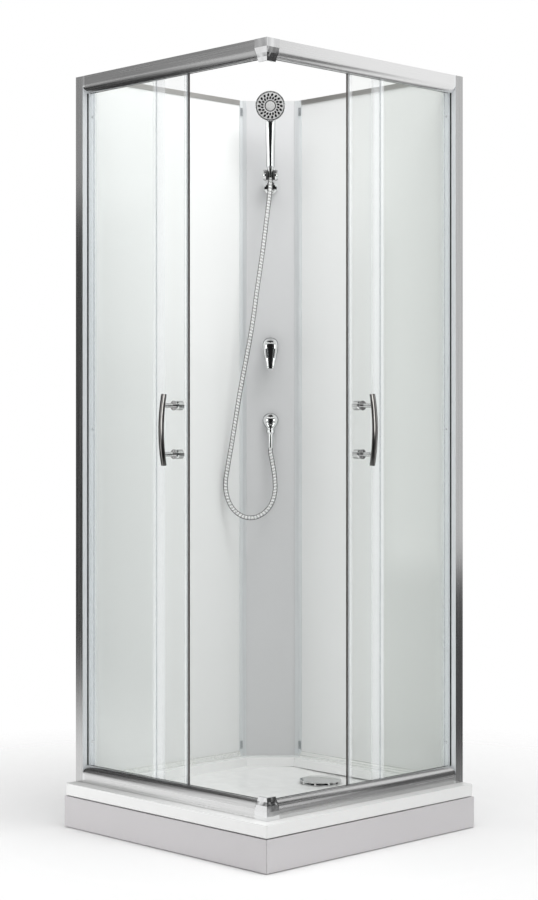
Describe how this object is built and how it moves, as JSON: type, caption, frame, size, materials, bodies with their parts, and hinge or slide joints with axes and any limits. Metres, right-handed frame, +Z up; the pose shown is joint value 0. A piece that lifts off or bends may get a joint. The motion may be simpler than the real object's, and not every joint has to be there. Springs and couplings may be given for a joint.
{
  "type": "shower cabin",
  "caption": "Square corner-entry shower cabin with sliding glass doors, white glass back walls, a low tray with apron, and a corner column with mixer and hand shower.",
  "frame": {"origin": "centre of the tray's footprint, on the floor", "axes": "+Z up; the entry corner points to +X -Y and the corner column stands at -X +Y; the left front face looks to -Y and the right front face to +X"},
  "size_m": [0.8, 0.8, 2.0973],
  "materials": {
    "acrylic": "white sanitary acrylic, gloss",
    "chrome": "polished",
    "chrome_plastic": "chrome-plated plastic, polished",
    "aluminium": "polished",
    "brushed_aluminium": "brushed",
    "clear_glass": "clear toughened",
    "white_glass": "white back-painted, gloss",
    "panel": "satin light grey",
    "black_rubber": "matt",
    "soft_seal": "translucent soft vinyl",
    "brass": "as cast",
    "zinc": "galvanised",
    "dark_plastic": "moulded",
    "hose_metal": "ribbed, polished"
  },
  "bodies": {
    "cabin": {"shower_tray": "acrylic", "tray_frame": "zinc", "levelling_feet": "dark_plastic", "apron_left": "acrylic", "apron_right": "acrylic", "drain_flange": "chrome", "drain_trap": "dark_plastic", "waste_pipe": "dark_plastic", "back_panel_left": "white_glass", "back_panel_right": "white_glass", "back_top_profiles": "brushed_aluminium", "back_sills": "aluminium", "column_panel": "panel", "column_profiles": "aluminium", "panel_clips": "zinc", "post_left": "brushed_aluminium", "post_right": "brushed_aluminium", "top_rail_left": "aluminium", "top_rail_right": "aluminium", "bottom_rail_left": "aluminium", "bottom_rail_right": "aluminium", "top_corner": "chrome_plastic", "bottom_corner": "chrome_plastic", "frame_screws": "chrome", "fixed_glass_left": "clear_glass", "fixed_glass_right": "clear_glass", "glass_seals": "soft_seal", "rail_ends": "chrome", "mixer_plate": "chrome", "mixer_body": "brass", "link_pipe": "brass", "hose_outlet": "chrome", "outlet_nut": "chrome", "shower_hose": "hose_metal", "holder_base": "chrome_plastic"},
    "drain_cover": {"drain_cover": "chrome", "drain_strainer": "dark_plastic"},
    "door_left": {"door_glass_left": "clear_glass", "door_handle_left": "chrome", "door_seal_left": "soft_seal", "door_carriers_left": "chrome"},
    "door_right": {"door_glass_right": "clear_glass", "door_handle_right": "chrome", "door_seal_right": "soft_seal", "door_carriers_right": "chrome"},
    "roller_top_left_lead": {"roller_top_left_lead": "dark_plastic"},
    "roller_top_left_trail": {"roller_top_left_trail": "dark_plastic"},
    "roller_bottom_left_lead": {"roller_bottom_left_lead": "dark_plastic"},
    "roller_bottom_left_trail": {"roller_bottom_left_trail": "dark_plastic"},
    "roller_top_right_lead": {"roller_top_right_lead": "dark_plastic"},
    "roller_top_right_trail": {"roller_top_right_trail": "dark_plastic"},
    "roller_bottom_right_lead": {"roller_bottom_right_lead": "dark_plastic"},
    "roller_bottom_right_trail": {"roller_bottom_right_trail": "dark_plastic"},
    "mixer_hub": {"mixer_hub": "chrome"},
    "mixer_lever": {"mixer_lever": "chrome"},
    "holder": {"holder_jaw": "dark_plastic"},
    "handset": {"handset_nut": "chrome", "handset_shell": "chrome_plastic", "handset_face": "panel", "handset_nozzles": "black_rubber"}
  },
  "joints": [
    {"name": "door_left_slide", "type": "slide", "parent": "cabin", "child": "door_left", "axis": [1, 0, 0], "range_m": [0, 0.29]},
    {"name": "door_right_slide", "type": "slide", "parent": "cabin", "child": "door_right", "axis": [0, -1, 0], "range_m": [0, 0.29]},
    {"name": "roller_top_left_lead_spin", "type": "hinge", "parent": "door_left", "child": "roller_top_left_lead", "pos_m": [-0.0704, -0.3315, 2.048], "axis": [0, 1, 0], "range_deg": [-5, 1760]},
    {"name": "roller_top_left_trail_spin", "type": "hinge", "parent": "door_left", "child": "roller_top_left_trail", "pos_m": [-0.2604, -0.3315, 2.048], "axis": [0, 1, 0], "range_deg": [-5, 1760]},
    {"name": "roller_bottom_left_lead_spin", "type": "hinge", "parent": "door_left", "child": "roller_bottom_left_lead", "pos_m": [-0.0704, -0.3315, 0.149], "axis": [0, 1, 0], "range_deg": [-1760, 5]},
    {"name": "roller_bottom_left_trail_spin", "type": "hinge", "parent": "door_left", "child": "roller_bottom_left_trail", "pos_m": [-0.2604, -0.3315, 0.149], "axis": [0, 1, 0], "range_deg": [-1760, 5]},
    {"name": "roller_top_right_lead_spin", "type": "hinge", "parent": "door_right", "child": "roller_top_right_lead", "pos_m": [0.3315, 0.0704, 2.048], "axis": [1, 0, 0], "range_deg": [-5, 1760]},
    {"name": "roller_top_right_trail_spin", "type": "hinge", "parent": "door_right", "child": "roller_top_right_trail", "pos_m": [0.3315, 0.2604, 2.048], "axis": [1, 0, 0], "range_deg": [-5, 1760]},
    {"name": "roller_bottom_right_lead_spin", "type": "hinge", "parent": "door_right", "child": "roller_bottom_right_lead", "pos_m": [0.3315, 0.0704, 0.149], "axis": [1, 0, 0], "range_deg": [-1760, 5]},
    {"name": "roller_bottom_right_trail_spin", "type": "hinge", "parent": "door_right", "child": "roller_bottom_right_trail", "pos_m": [0.3315, 0.2604, 0.149], "axis": [1, 0, 0], "range_deg": [-1760, 5]},
    {"name": "drain_cover_lift", "type": "slide", "parent": "cabin", "child": "drain_cover", "axis": [0, 0, 1], "range_m": [0, 0.05]},
    {"name": "mixer_turn", "type": "hinge", "parent": "cabin", "child": "mixer_hub", "pos_m": [-0.29808, 0.29808, 1.349], "axis": [0.7071, -0.7071, 0], "range_deg": [-50, 50]},
    {"name": "mixer_lift", "type": "hinge", "parent": "mixer_hub", "child": "mixer_lever", "pos_m": [-0.29808, 0.29808, 1.349], "axis": [-0.7071, -0.7071, 0], "range_deg": [0, 20]},
    {"name": "holder_tilt", "type": "hinge", "parent": "cabin", "child": "holder", "pos_m": [-0.28747, 0.28747, 1.856], "axis": [0.7071, 0.7071, 0], "range_deg": [-8, 20], "deforming": ["shower_hose"]},
    {"name": "handset_lift", "type": "slide", "parent": "holder", "child": "handset", "axis": [0.147, -0.147, 0.9781], "range_m": [0, 0.06], "deforming": ["shower_hose"]}
  ],
  "couplings": [
    {"joint": "roller_top_left_lead_spin", "follows": "door_left_slide", "rad_per_m": 105.26},
    {"joint": "roller_top_left_trail_spin", "follows": "door_left_slide", "rad_per_m": 105.26},
    {"joint": "roller_bottom_left_lead_spin", "follows": "door_left_slide", "rad_per_m": -105.26},
    {"joint": "roller_bottom_left_trail_spin", "follows": "door_left_slide", "rad_per_m": -105.26},
    {"joint": "roller_top_right_lead_spin", "follows": "door_right_slide", "rad_per_m": 105.26},
    {"joint": "roller_top_right_trail_spin", "follows": "door_right_slide", "rad_per_m": 105.26},
    {"joint": "roller_bottom_right_lead_spin", "follows": "door_right_slide", "rad_per_m": -105.26},
    {"joint": "roller_bottom_right_trail_spin", "follows": "door_right_slide", "rad_per_m": -105.26}
  ]
}
